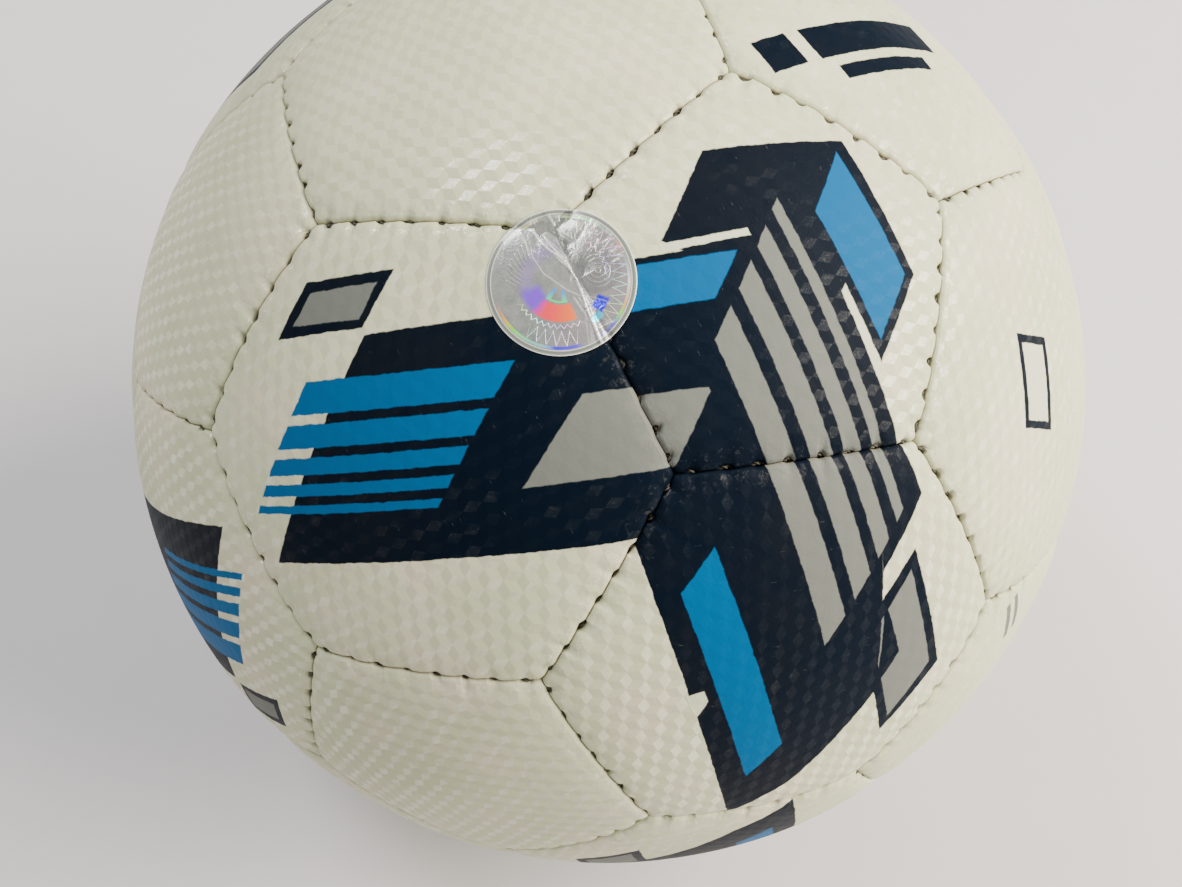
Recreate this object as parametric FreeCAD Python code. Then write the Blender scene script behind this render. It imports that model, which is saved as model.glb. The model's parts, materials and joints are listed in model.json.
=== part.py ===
"""A hand-stitched futsal ball: a truncated icosahedron of 12 pentagons and 20 hexagons.

From the outside in: embossed cover panels with turned-in edges, stitching between those edges,
foam, woven lining, butyl bladder with its valve, and loose foam wads in the bladder that deaden
the bounce. A round clear label lies over the corner of three panels.

The origin is the centre of the ball and +Z is up. Lengths are in millimetres, angles in degrees.
"""
import FreeCAD, Part

import math
import os

from FreeCAD import Placement, Rotation, Vector

# Driving dimensions
BALL_CIRCUMFERENCE = 630.0
COVER_THICKNESS = 1.2
FOAM_THICKNESS = 3.0
LINING_THICKNESS = 1.2
BLADDER_THICKNESS = 0.9
SEAM_GAP = 1.0
SHOULDER_RADIUS = 0.9
THREAD_DIAMETER = 0.8
THREAD_DEPTH = 3.0
THREAD_END_SPACE = 1.0

VALVE_HEXAGON = 11
VALVE_STEM_RADIUS = 4.5
VALVE_STEM_LENGTH = 18.0
VALVE_FLANGE_RADIUS = 9.0
VALVE_FLANGE_THICKNESS = 1.4
VALVE_RECESS = 0.5
CORE_RADIUS = 2.6
CORE_HEAD_RADIUS = 3.4
CORE_HEAD_THICKNESS = 1.5
CORE_TIP = 2.0
NEEDLE_BORE_RADIUS = 1.1
NEEDLE_BORE_LENGTH = 12.0
PATCH_RADIUS = 20.0
PATCH_THICKNESS = 1.0
COVER_HOLE_CLEARANCE = 0.1

LABEL_RADIUS = 11.25
LABEL_THICKNESS = 0.12
LABEL_HEADING = -99.5
LABEL_ELEVATION = 61.8

WAD_ORBIT = 52.0
WAD_RADIUS = 25.0
WAD_SQUASH = 0.8
CENTRE_WAD_RADIUS = 18.0

# How the ball lies: turned about its own polar axis, tilted, then turned about the vertical
PANEL_SPIN = -53.9
PANEL_TILT = 29.9
PANEL_HEADING = -59.3

# Worked out from the driving dimensions
BALL_RADIUS = BALL_CIRCUMFERENCE / (2.0 * math.pi)
FOAM_RADIUS = BALL_RADIUS - COVER_THICKNESS
LINING_RADIUS = FOAM_RADIUS - FOAM_THICKNESS
BLADDER_RADIUS = LINING_RADIUS - LINING_THICKNESS
BLADDER_INNER_RADIUS = BLADDER_RADIUS - BLADDER_THICKNESS
PATCH_INNER_RADIUS = BLADDER_INNER_RADIUS - PATCH_THICKNESS
VALVE_TOP_RADIUS = BALL_RADIUS - VALVE_RECESS

ORIGIN = Vector(0, 0, 0)
UP = Vector(0, 0, 1)

# Every panel is made round this direction, clear of the seam and poles of a round face, and then put
BENCH = Vector(-1, 0, 0)
ICOSAHEDRON_LATITUDE = math.degrees(math.atan(0.5))


def direction(heading, elevation):
    """Unit vector at an angle round +Z from +X, and an angle up from the horizontal."""
    across = math.cos(math.radians(elevation))
    return Vector(
        across * math.cos(math.radians(heading)),
        across * math.sin(math.radians(heading)),
        math.sin(math.radians(elevation)),
    )


def lying(vector):
    """A direction of the upright ball, turned to the way the ball lies."""
    spin = Rotation(UP, PANEL_SPIN)
    tilt = Rotation(Vector(0, 1, 0), PANEL_TILT)
    heading = Rotation(UP, PANEL_HEADING)
    return heading.multVec(tilt.multVec(spin.multVec(vector)))


def pentagon_directions():
    """The 12 corners of an icosahedron: a pole, two rings of five, and the other pole."""
    upper = [direction(72.0 * step, ICOSAHEDRON_LATITUDE) for step in range(5)]
    lower = [direction(72.0 * step + 36.0, -ICOSAHEDRON_LATITUDE) for step in range(5)]
    return [lying(corner) for corner in [UP] + upper + lower + [-UP]]


def are_neighbours(first, second):
    """True for two corners of the icosahedron that share an edge of it."""
    return 50.0 < math.degrees(first.getAngle(second)) < 80.0


def unit(vector):
    return vector / vector.Length


def hexagon_directions(corners):
    """The centre of each of the icosahedron's 20 faces."""
    centres = []
    count = len(corners)
    for i in range(count):
        for j in range(i + 1, count):
            for k in range(j + 1, count):
                a, b, c = corners[i], corners[j], corners[k]
                if are_neighbours(a, b) and are_neighbours(b, c) and are_neighbours(a, c):
                    centres.append(unit(a + b + c))
    return centres


def panel_corner_directions(corners):
    """The 60 corners of the panels: each edge of the icosahedron cut at its thirds."""
    found = []
    for a in corners:
        for b in corners:
            if a != b and are_neighbours(a, b):
                found.append(unit(a * 2.0 + b))
    return found


def first_corner(centre, candidates):
    """One of the panel corners nearest a panel's centre."""
    return min(candidates, key=centre.getAngle)


def corners_at_rest(sides, corner_angle):
    """The corners of a panel that is centred on the bench direction."""
    first = Rotation(Vector(0, 1, 0), corner_angle).multVec(BENCH)
    return [Rotation(BENCH, 360.0 * step / sides).multVec(first) for step in range(sides)]


def put(shape, centre, corner):
    """A copy of a shape made on the bench direction, turned to a panel's own place."""
    toward = unit(corner - centre * corner.dot(centre))
    placed = shape.copy()
    placed.Placement = Placement(ORIGIN, Rotation(-centre, toward.cross(-centre), toward, "ZXY"))
    return placed


def ball(radius):
    return Part.makeSphere(radius)


def shell(outer_radius, inner_radius):
    return ball(outer_radius).cut(ball(inner_radius))


def wedge(centre, corners, inset):
    """The pyramid from the ball's middle that stays inset from the planes of the panel's seams."""
    seam_normal = unit(corners[0].cross(corners[1]))
    apex = centre * (inset / seam_normal.dot(centre))
    rim = [apex + corner * (1.5 * BALL_RADIUS) for corner in corners]
    faces = []
    for here, there in zip(rim, rim[1:] + rim[:1]):
        faces.append(Part.Face(Part.makePolygon([apex, here, there, apex])))
    faces.append(Part.Face(Part.makePolygon(rim + rim[:1])))
    return Part.Solid(Part.Shell(faces))


def along(axis, radius, low, high):
    """A round bar whose axis passes through the ball's centre."""
    return Part.makeCylinder(radius, high - low, axis * low, axis)


def rounded_shoulders(cover):
    """The cover with its outer edges rounded, where they roll down into the seams."""
    edges = []
    for edge in cover.Edges:
        middle = edge.valueAt((edge.FirstParameter + edge.LastParameter) / 2.0)
        on_surface = all(abs(v.Point.Length - BALL_RADIUS) < 0.001 for v in edge.Vertexes)
        if on_surface and abs(middle.Length - BALL_RADIUS) < 0.001:
            edges.append(edge)
    return cover.makeFillet(SHOULDER_RADIUS, edges)


def cover_panel(centre, corners):
    """A sheet on the surface whose edges turn in towards the bladder, where they are sewn."""
    outside = shell(BALL_RADIUS, BLADDER_RADIUS).common(wedge(centre, corners, SEAM_GAP / 2.0))
    pocket = ball(FOAM_RADIUS).common(wedge(centre, corners, SEAM_GAP / 2.0 + COVER_THICKNESS))
    return rounded_shoulders(outside.cut(pocket))


def layer(centre, corners, outer_radius, inner_radius):
    """One sheet of backing, which fills the pocket behind a cover."""
    pocket = wedge(centre, corners, SEAM_GAP / 2.0 + COVER_THICKNESS)
    return shell(outer_radius, inner_radius).common(pocket)


def seams(corners):
    """Every pair of panel corners that one seam joins."""
    shortest = min(corners[0].getAngle(c) for c in corners[1:])
    pairs = []
    for index, here in enumerate(corners):
        for there in corners[index + 1:]:
            if here.getAngle(there) < shortest + 0.01:
                pairs.append((here, there))
    return pairs


def thread(start, end):
    """The stitching of one seam, as a smooth cord that lies between the turned-in edges."""
    path_radius = BALL_RADIUS - THREAD_DEPTH
    end_angle = math.degrees(THREAD_END_SPACE / path_radius)
    sweep = math.degrees(start.getAngle(end)) - 2.0 * end_angle
    normal = unit(start.cross(end))
    cord = Part.makeTorus(path_radius, THREAD_DIAMETER / 2.0, ORIGIN, UP, 0.0, 360.0, sweep)
    first = Rotation(normal, end_angle).multVec(start)
    cord.Placement = Placement(ORIGIN, Rotation(first, normal.cross(first), normal, "ZXY"))
    return cord


def valve_body(axis):
    """The rubber housing: a stem out to the surface, and a flange against the patch."""
    low = VALVE_TOP_RADIUS - VALVE_STEM_LENGTH
    stem = along(axis, VALVE_STEM_RADIUS, low, BALL_RADIUS + 1.0)
    flange_top = math.sqrt(PATCH_INNER_RADIUS ** 2 - VALVE_FLANGE_RADIUS ** 2)
    flange = along(axis, VALVE_FLANGE_RADIUS, flange_top - VALVE_FLANGE_THICKNESS, flange_top)
    body = stem.fuse(flange).common(ball(VALVE_TOP_RADIUS)).removeSplitter()
    body = body.cut(along(axis, CORE_RADIUS, low - 1.0, BALL_RADIUS + 1.0))
    head_room = VALVE_TOP_RADIUS - CORE_HEAD_THICKNESS
    return body.cut(along(axis, CORE_HEAD_RADIUS, head_room, BALL_RADIUS + 1.0))


def valve_core(axis):
    """The plug: a shank and a head, a needle passage from the outside, and a closed tip."""
    low = VALVE_TOP_RADIUS - VALVE_STEM_LENGTH - CORE_TIP
    top = VALVE_TOP_RADIUS - COVER_HOLE_CLEARANCE
    shank = along(axis, CORE_RADIUS, low, top)
    head = along(axis, CORE_HEAD_RADIUS, VALVE_TOP_RADIUS - CORE_HEAD_THICKNESS, top)
    passage = along(axis, NEEDLE_BORE_RADIUS, top - NEEDLE_BORE_LENGTH, top + 1.0)
    return shank.fuse(head).removeSplitter().cut(passage)


def valve_hole(axis, clearance=0.0):
    return along(axis, VALVE_STEM_RADIUS + clearance, PATCH_INNER_RADIUS - 5.0, BALL_RADIUS + 5.0)


def filling(pentagons):
    """Loose foam wads, one towards each pentagon and one in the middle."""
    wads = [ball(CENTRE_WAD_RADIUS)]
    squash = FreeCAD.Matrix()
    squash.scale(1.0, 1.0, WAD_SQUASH)
    for centre in pentagons:
        wad = ball(WAD_RADIUS).transformGeometry(squash)
        wad.Placement = Placement(centre * WAD_ORBIT, Rotation(UP, centre))
        wads.append(wad)
    return wads


def label(axis):
    """The thin round label, which follows the surface of the ball."""
    film = shell(BALL_RADIUS + LABEL_THICKNESS, BALL_RADIUS)
    return film.common(along(axis, LABEL_RADIUS, BALL_RADIUS / 2.0, BALL_RADIUS + 5.0))


def write(name, solids):
    """Save one node, and stop if one of its solids isn't a closed solid."""
    whole = []
    for shape in solids:
        whole.extend(shape.Solids)
    for solid in whole:
        if not solid.isValid() or solid.Volume <= 0.0:
            raise ValueError(name + " has a bad solid")
    shape = whole[0] if len(whole) == 1 else Part.makeCompound(whole)
    shape.exportStep("parts/" + name + ".step")
    print(name, len(whole), "solids", round(sum(s.Volume for s in whole)), "mm3")


os.makedirs("parts", exist_ok=True)

pentagons = pentagon_directions()
hexagons = hexagon_directions(pentagons)
panel_corners = panel_corner_directions(pentagons)
valve_axis = hexagons[VALVE_HEXAGON - 1]
valve_corner = first_corner(valve_axis, panel_corners)

for kind, sides, centres in (("pentagon", 5, pentagons), ("hexagon", 6, hexagons)):
    corner_angle = math.degrees(min(centres[0].getAngle(c) for c in panel_corners))
    outline = corners_at_rest(sides, corner_angle)
    cover = cover_panel(BENCH, outline)
    foam = layer(BENCH, outline, FOAM_RADIUS, LINING_RADIUS)
    lining = layer(BENCH, outline, LINING_RADIUS, BLADDER_RADIUS)
    foams = []
    linings = []
    for number, centre in enumerate(centres, start=1):
        corner = first_corner(centre, panel_corners)
        has_valve = kind == "hexagon" and number == VALVE_HEXAGON
        hole = valve_hole(BENCH)
        foams.append(put(foam.cut(hole) if has_valve else foam, centre, corner))
        linings.append(put(lining.cut(hole) if has_valve else lining, centre, corner))
        sheet = cover.cut(valve_hole(BENCH, COVER_HOLE_CLEARANCE)) if has_valve else cover
        write("{}_cover_{:02d}".format(kind, number), [put(sheet, centre, corner)])
    write(kind + "_foam", foams)
    write(kind + "_lining", linings)

write("stitching_thread", [thread(start, end) for start, end in seams(panel_corners)])

bladder = shell(BLADDER_RADIUS, BLADDER_INNER_RADIUS).cut(valve_hole(BENCH))
patch_outline = along(BENCH, PATCH_RADIUS, 0.0, BALL_RADIUS)
patch = shell(BLADDER_INNER_RADIUS, PATCH_INNER_RADIUS).common(patch_outline)
patch = patch.cut(valve_hole(BENCH))
write("bladder", [put(bladder, valve_axis, valve_corner)])
write("valve_patch", [put(patch, valve_axis, valve_corner)])
write("valve_body", [put(valve_body(BENCH), valve_axis, valve_corner)])
write("valve_core", [put(valve_core(BENCH), valve_axis, valve_corner)])
write("bladder_filling", filling(pentagons))

label_axis = direction(LABEL_HEADING, LABEL_ELEVATION)
write("hologram_label", [put(label(BENCH), label_axis, UP)])
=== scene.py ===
"""Looks for a hand-stitched futsal ball: embossed printed panels, stitches, label and valve.

Shapes are worked out in millimetres round the ball's centre, and become metres when a mesh is made.
"""

import itertools
import json
import math

import bmesh
import bpy
import numpy as np
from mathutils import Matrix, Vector


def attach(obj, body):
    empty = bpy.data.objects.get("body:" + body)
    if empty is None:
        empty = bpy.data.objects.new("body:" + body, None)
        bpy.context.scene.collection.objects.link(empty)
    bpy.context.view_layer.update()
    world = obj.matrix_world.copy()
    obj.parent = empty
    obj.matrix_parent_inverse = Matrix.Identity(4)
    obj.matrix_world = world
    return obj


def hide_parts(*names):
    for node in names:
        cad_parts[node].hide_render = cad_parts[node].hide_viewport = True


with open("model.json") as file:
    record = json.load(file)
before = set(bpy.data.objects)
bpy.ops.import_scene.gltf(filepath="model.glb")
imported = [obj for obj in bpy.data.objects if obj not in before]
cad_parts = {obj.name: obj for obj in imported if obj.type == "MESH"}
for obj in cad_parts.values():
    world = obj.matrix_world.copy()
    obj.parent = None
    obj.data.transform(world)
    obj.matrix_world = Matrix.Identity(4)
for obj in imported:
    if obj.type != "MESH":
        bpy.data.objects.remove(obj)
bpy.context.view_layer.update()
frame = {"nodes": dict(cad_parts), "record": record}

MM = 0.001

# ---------------- sizes

RESTING_POINT = next(m for m in frame["record"]["mounts"] if m["name"] == "resting_point")
BALL_RADIUS = -RESTING_POINT["pos_m"][2] / MM
COVER_THICKNESS = 1.15
POCKET_DEPTH = 5.2

# How the ball lies, as in the CAD model
PANEL_SPIN = -53.9
PANEL_TILT = 29.9
PANEL_HEADING = -59.3
VALVE_PANEL = "hexagon_cover_11"
VALVE_HOLE_RADIUS = 4.65
VALVE_HOLE_SIDES = 96

# The roll of a panel down into its seams
SHOULDER_DEPTH = 0.62
SHOULDER_REACH = 2.3
LIP_DEPTH = 0.52
LIP_RADIUS = 0.62
SEAM_HALF_GAP = 0.035
TUNNEL_HALF_WIDTH = 0.52
WRINKLE_DEPTH = 0.045
WRINKLE_REACH = 1.5
DENT_REACH = 5.0
CORNER_FADE = 2.5

# Rings of points on a panel. On top: distance inside the lip, close together near it, then even steps
TOP_RINGS = (0.0, 0.05, 0.12, 0.22, 0.34, 0.48, 0.65, 0.85, 1.1, 1.4,
             1.75, 2.15, 2.6, 3.1, 3.7, 4.4, 5.2, 6.2, 7.4)
TOP_START = 8.9
TOP_STEP = 1.6
# The turned-in edge: extra depth, how much of the lip's own line is left, and how far points are thinned
EDGE_RINGS = ((0.25, 1.0, 1), (0.6, 0.75, 1), (1.0, 0.3, 1), (1.5, 0.0, 2))
# The fold behind it: inset and depth
FOLD_RINGS = ((0.0, POCKET_DEPTH), (1.2, POCKET_DEPTH), (1.25, 2.2))
# Underneath: inset, and how far points are thinned
UNDER_RINGS = ((2.2, 4), (5.0, 4), (12.0, 8), (22.0, 8))
# Insets over this count as the open middle of the panel
WIDEST_INSET = 9.0

# Stitches
STITCHES_PER_SEAM = 8
STITCH_OPENING = 0.74
STITCH_HALF_LENGTH = 1.0
STITCH_ZONE = 1.25
STITCH_PULL = 0.22
MEAN_PULL = 0.35
PULL_HALF_LENGTH = 1.15
PULL_REACH = 1.9
CLOSED_SIDE_SHARE = 0.18
SEAM_ZIGZAG = 0.16
ZIGZAG_TURN = 0.8
THREAD_RADIUS = 0.36
THREAD_DEPTH = 1.42
THREAD_DIP = 1.5
THREAD_LAY = 1.7
THREAD_SIDES = 5
# One strand's distance from the thread's middle, and its radius, in thread radii
STRAND_OFFSET = 0.5
STRAND_RADIUS = 0.58

# The round label
LABEL_HEADING = -99.5
LABEL_ELEVATION = 61.8
LABEL_RADIUS = 11.2
LABEL_SPOKES = 320
LABEL_RINGS = 110
LABEL_LIFT = 0.09
LABEL_THICKNESS = 0.11

# The foam wads in the bladder
WAD_ORBIT = 52.0
WAD_RADIUS = 25.0
WAD_SQUASH = 0.8
CENTRE_WAD_RADIUS = 18.0

# Folds in the label: creases in the bundle, spread, height, brightness of the painted highlight on its
# creases, and the points it runs through
LABEL_FOLDS = (
    (4, 0.28, 0.30, 1.0, ((2.1, 0.9), (4.4, -3.4), (7.2, -8.6))),
    (3, 0.90, 0.12, 0.5, ((3.4, -2.2), (4.8, -5.2), (6.0, -9.4))),
    (9, 0.75, 0.14, 0.9, ((-7.0, 9.2), (-3.6, 5.7), (0.2, 3.0), (2.1, 0.8))),
    (1, 0.00, 0.10, 0.7, ((-7.4, 7.2), (-5.3, 3.7), (-2.7, 0.7), (1.1, -1.3), (3.3, -1.9))),
    (7, 0.60, 0.14, 0.9, ((3.6, 9.8), (1.6, 5.2), (0.9, 3.2))),
    (4, 0.80, 0.12, 0.7, ((-4.4, 10.2), (-2.0, 7.8), (0.2, 6.2))),
    (1, 0.00, 0.08, 0.8, ((3.4, -1.6), (7.2, -2.1))),
    (3, 0.35, 0.10, 0.6, ((5.6, -6.4), (8.4, -5.0))),
)

# Where the folds meet, and the colours round the label's edge: turn from -x, colour, opacity
KNOT = (1.9, 0.6)
RIM_GLOW = (
    (0.00, (255, 255, 240), 0.00),
    (0.08, (255, 150, 90), 0.10),
    (0.12, (255, 190, 60), 0.90),
    (0.15, (120, 255, 40), 1.00),
    (0.19, (130, 240, 200), 0.70),
    (0.23, (150, 230, 245), 0.60),
    (0.26, (60, 20, 255), 1.00),
    (0.31, (90, 60, 255), 0.90),
    (0.34, (150, 170, 130), 0.15),
    (0.41, (90, 70, 255), 0.75),
    (0.44, (120, 255, 60), 0.90),
    (0.47, (255, 190, 110), 0.70),
    (0.52, (250, 252, 250), 0.80),
    (0.58, (160, 220, 220), 0.20),
    (0.61, (255, 140, 100), 0.50),
    (0.64, (200, 200, 200), 0.05),
    (0.70, (150, 240, 170), 0.80),
    (0.77, (225, 255, 200), 0.80),
    (0.80, (200, 200, 200), 0.05),
    (0.86, (255, 250, 170), 0.50),
    (0.92, (200, 200, 200), 0.05),
)

# Lines round the label's clear rim, the pale ones painted highlights on its edges: distance from its middle,
# half width, softness, colour and opacity
RIM_LINES = (
    (10.42, 0.04, 0.05, (226, 228, 222), 0.7),
    (10.72, 0.05, 0.08, (84, 90, 84), 0.5),
    (11.12, 0.06, 0.05, (226, 228, 222), 0.8),
)

# Embossed blocks
BLOCK_PITCH = 3.5
BLOCK_SLOPE = 0.080
GLAZE_SLOPE = 0.095

# Points along one side of a panel, near the seam: most of them are at the stitches
FINE_AT_STITCH = 10
FINE_BETWEEN = 3
FINE = STITCHES_PER_SEAM * (FINE_AT_STITCH + 2 * FINE_BETWEEN)

# Colours in sRGB: the cover, its inks, the wear on them, and painted highlights and seam shade
PEARL = ((188, 191, 157), (201, 203, 170))
FLUSHED = (213, 199, 178)
POLISHED_FACET_HIGHLIGHT = (224, 224, 204)
CREAM = (200, 203, 176)
NAVY = (6, 16, 28)
BLUE = (0, 85, 133)
GREY = (106, 109, 103)
RUBBED_INK_GLINT = (104, 106, 106)
HAZED_INK = (24, 25, 30)
SCRATCHED_INK = (120, 122, 120)
CRUMPLE_HIGHLIGHT = (240, 238, 224)
SEAM_EDGE_AND_SHADE = (136, 124, 102)
SEAM_SHADE_UNDER_NAVY = (10, 12, 16)

# Patches of noise: scale, detail, roughness, and the noise values where they start and are full
MOTTLED = (38.0, 4.0, 0.6, 0.35, 0.7)
FLUSHED_SPOTS = (52.0, 2.0, 0.5, 0.46, 0.68)
FACET_HIGHLIGHT_SPOTS = (300.0, 3.0, 0.6, 0.38, 0.62)
GRIT = (1900.0, 3.0, 0.75, 0.50, 0.66)
RUBBED_GLINT_SPOTS = (52.0, 3.0, 0.6, 0.54, 0.70)
RUBBED_GLINT_BREAKS = (210.0, 2.0, 0.6, 0.40, 0.60)
HAZE = (34.0, 4.0, 0.7, 0.42, 0.68)
SCRATCHES = (2.2, 4.0, 0.7, 0.66, 0.72)
CRUMPLE_HIGHLIGHT_SPOTS = (700.0, 4.0, 0.75, 0.56, 0.66)


def linear(rgb):
    """An sRGB colour of 0 to 255 as the linear colour that a shader takes."""
    out = []
    for value in rgb:
        v = value / 255.0
        out.append(v / 12.92 if v <= 0.04045 else ((v + 0.055) / 1.055) ** 2.4)
    return (*out, 1.0)


# ---------------- layout of the panels


def turn_about_z(degrees):
    a = math.radians(degrees)
    return np.array([[math.cos(a), -math.sin(a), 0], [math.sin(a), math.cos(a), 0], [0, 0, 1.0]])


def turn_about_y(degrees):
    a = math.radians(degrees)
    return np.array([[math.cos(a), 0, math.sin(a)], [0, 1.0, 0], [-math.sin(a), 0, math.cos(a)]])


def unit(v):
    return v / np.linalg.norm(v, axis=-1, keepdims=True)


def direction(heading, elevation):
    h, e = math.radians(heading), math.radians(elevation)
    return np.array([math.cos(e) * math.cos(h), math.cos(e) * math.sin(h), math.sin(e)])


LYING = turn_about_z(PANEL_HEADING) @ turn_about_y(PANEL_TILT) @ turn_about_z(PANEL_SPIN)
LATITUDE = math.degrees(math.atan(0.5))


def pentagon_centres():
    upper = [direction(72.0 * k, LATITUDE) for k in range(5)]
    lower = [direction(72.0 * k + 36.0, -LATITUDE) for k in range(5)]
    return np.array([direction(0, 90)] + upper + lower + [direction(0, -90)]) @ LYING.T


def adjoining(a, b):
    """Whether two pentagons, given by their centres, are next to each other, 63 degrees apart."""
    return 0.3 < a @ b < 0.6


def hexagon_centres(pents):
    triples = [t for t in itertools.combinations(pents, 3)
               if all(adjoining(a, b) for a, b in itertools.combinations(t, 2))]
    return np.array([unit(a + b + c) for a, b, c in triples])


def panel_corners(pents):
    return np.array([unit(2.0 * a + b) for a in pents for b in pents if adjoining(a, b)])


PENTAGONS = pentagon_centres()
HEXAGONS = hexagon_centres(PENTAGONS)
CORNERS = panel_corners(PENTAGONS)

# Six groups of printed panels: a pentagon, the hexagon its slab comes from, and the one it runs on to
PRINT_GROUPS = ((1, 2, 1), (11, 7, 15), (7, 10, 6), (5, 14, 13), (4, 9, 12), (12, 19, 18))

# Plain-ground hexagons with slanting bars, and the pentagon that each one's print faces
BANNERS = ((4, 1), (17, 11))
BADGE = 3
DASHES = 3

# The panels round a panel have their centres nearer than this to its own
COSINE_OF_NEIGHBOURS = 0.75


class Panel:
    """One panel: where it is, its own axes, its corners in order, and its print."""

    def __init__(self, kind, number, centre):
        self.name = "{}_cover_{:02d}".format(kind, number)
        self.centre = centre
        self.print_kind = "plain"
        near = CORNERS @ centre
        self.corner_ids = np.flatnonzero(near > near.max() - 1e-6)
        around = HEXAGONS if kind == "pentagon" else PENTAGONS
        self.face_to([c for c in around if c @ centre > COSINE_OF_NEIGHBOURS][-1])

    def face_to(self, target):
        """Turns the panel's own x axis towards a place on the ball."""
        self.x_axis = unit(target - self.centre * (target @ self.centre))
        self.y_axis = np.cross(self.centre, self.x_axis)

    def ordered_corners(self):
        """Corner numbers anticlockwise as seen from outside."""
        found = CORNERS[self.corner_ids]
        angles = np.arctan2(found @ self.y_axis, found @ self.x_axis)
        return self.corner_ids[np.argsort(angles)]


def lay_out_panels():
    pents = [Panel("pentagon", k + 1, c) for k, c in enumerate(PENTAGONS)]
    hexes = [Panel("hexagon", k + 1, c) for k, c in enumerate(HEXAGONS)]
    for pent_number, slab_number, tip_number in PRINT_GROUPS:
        pent, slab, tip = pents[pent_number - 1], hexes[slab_number - 1], hexes[tip_number - 1]
        pent.print_kind, slab.print_kind, tip.print_kind = "block", "slab", "tip"
        pent.face_to(slab.centre)
        slab.face_to(pent.centre)
        tip.face_to(pent.centre)
    for number, towards in BANNERS:
        hexes[number - 1].print_kind = "banner"
        hexes[number - 1].face_to(pents[towards - 1].centre)
    hexes[BADGE - 1].print_kind = "badge"
    pents[DASHES - 1].print_kind = "dash"
    return pents + hexes


PANELS = lay_out_panels()

# ---------------- seams


class Seam:
    """One seam: its stitches, the little zigzag of its line and the openings at its stitches."""

    def __init__(self, number, start, end):
        rng = np.random.default_rng(1000 + number)
        self.start = CORNERS[start]
        self.normal = unit(np.cross(CORNERS[start], CORNERS[end]))
        self.forward = np.cross(self.normal, self.start)
        self.length = BALL_RADIUS * math.acos(CORNERS[start] @ CORNERS[end])
        pitch = self.length / STITCHES_PER_SEAM
        places = (np.arange(STITCHES_PER_SEAM) + 0.5) * pitch
        self.stitches = places + rng.uniform(-0.45, 0.45, STITCHES_PER_SEAM)
        self.half_lengths = STITCH_HALF_LENGTH * rng.uniform(0.65, 1.2, STITCHES_PER_SEAM)
        self.openings = STITCH_OPENING * rng.uniform(0.45, 1.2, STITCHES_PER_SEAM)
        self.open_side = 1.0 if rng.random() < 0.5 else -1.0
        self.zigzag = SEAM_ZIGZAG * rng.uniform(0.5, 1.2) * (1.0 if rng.random() < 0.5 else -1.0)
        self.wrinkle_phases = rng.uniform(0, 2 * math.pi, 4)

    def marks(self, forward):
        """Places along the seam for a panel's points, close together at the stitches."""
        ends = np.concatenate([[0.0], (self.stitches[1:] + self.stitches[:-1]) / 2, [self.length]])
        out = []
        for place, before, after in zip(self.stitches, ends, ends[1:]):
            stops = (before, place - STITCH_ZONE, place + STITCH_ZONE, after)
            for start, end, count in zip(stops, stops[1:], (FINE_BETWEEN, FINE_AT_STITCH, FINE_BETWEEN)):
                out.append(np.linspace(start, end, count, endpoint=False))
        out = np.concatenate(out + [[self.length]])
        return (out if forward else out[::-1])[:-1]

    def share(self, s):
        """The same places as shares of the straight side of a flattened panel."""
        half = self.length / BALL_RADIUS / 2
        return 0.5 + 0.5 * np.tan((s / self.length - 0.5) * 2 * half) / math.tan(half)

    def along(self, points):
        """How far along the seam each direction lies, in mm, and how far to its left."""
        s = BALL_RADIUS * np.arctan2(points @ self.forward, points @ self.start)
        return s, BALL_RADIUS * np.arcsin(np.clip(points @ self.normal, -1, 1))

    def ends(self, s):
        """1 along the seam, fading to 0 at its two corners."""
        fade = np.clip(np.minimum(s, self.length - s) / CORNER_FADE, 0, 1)
        return fade * fade * (3 - 2 * fade)

    def line_shift(self, s):
        """The zigzag: the seam slants between stitches, and steps back at each one."""
        places = np.concatenate([[0.0], self.stitches, [self.length]])
        k = np.clip(np.searchsorted(places, s) - 1, 0, len(places) - 2)
        share = (s - places[k]) / (places[k + 1] - places[k])
        slant = np.where(share < ZIGZAG_TURN, share / ZIGZAG_TURN, (1 - share) / (1 - ZIGZAG_TURN))
        return self.zigzag * (2 * slant - 1) * self.ends(s)

    def opening(self, s, side):
        """How far the lip on one side stands back from the seam at the stitches."""
        share = 1.0 if side == self.open_side else CLOSED_SIDE_SHARE
        away = (s[:, None] - self.stitches) / self.half_lengths
        return share * (np.sqrt(np.clip(1 - away ** 2, 0, 1)) * self.openings).max(axis=1)

    def edge(self, s, side):
        """The distance from the true seam line to the lip of the panel on that side."""
        return SEAM_HALF_GAP + side * self.line_shift(s) + self.opening(s, side)

    def pull(self, s):
        """1 at a stitch, where the thread pulls the panel down, falling to 0 between."""
        away = (s[:, None] - self.stitches) / PULL_HALF_LENGTH
        return np.exp(-away ** 2).max(axis=1) * self.ends(s)

    def wrinkles(self, s):
        """Fine creases across the shoulder: two products of waves, in radians per mm."""
        a, b, c, d = self.wrinkle_phases
        fine = np.sin(4.3 * s + a) * np.sin(0.9 * s + b)
        coarse = np.sin(2.1 * s + c) * np.sin(0.53 * s + d)
        return (0.6 * fine + coarse) * self.ends(s)


def lay_out_seams():
    closest = np.sort(-(CORNERS @ CORNERS.T), axis=1)[:, 3]
    seams = {}
    for i in range(len(CORNERS)):
        for j in range(i + 1, len(CORNERS)):
            if -(CORNERS[i] @ CORNERS[j]) < closest[i] + 1e-6:
                seams[(i, j)] = Seam(len(seams), i, j)
    return seams


SEAMS = lay_out_seams()

# ---------------- unevenness of the whole ball


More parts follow.
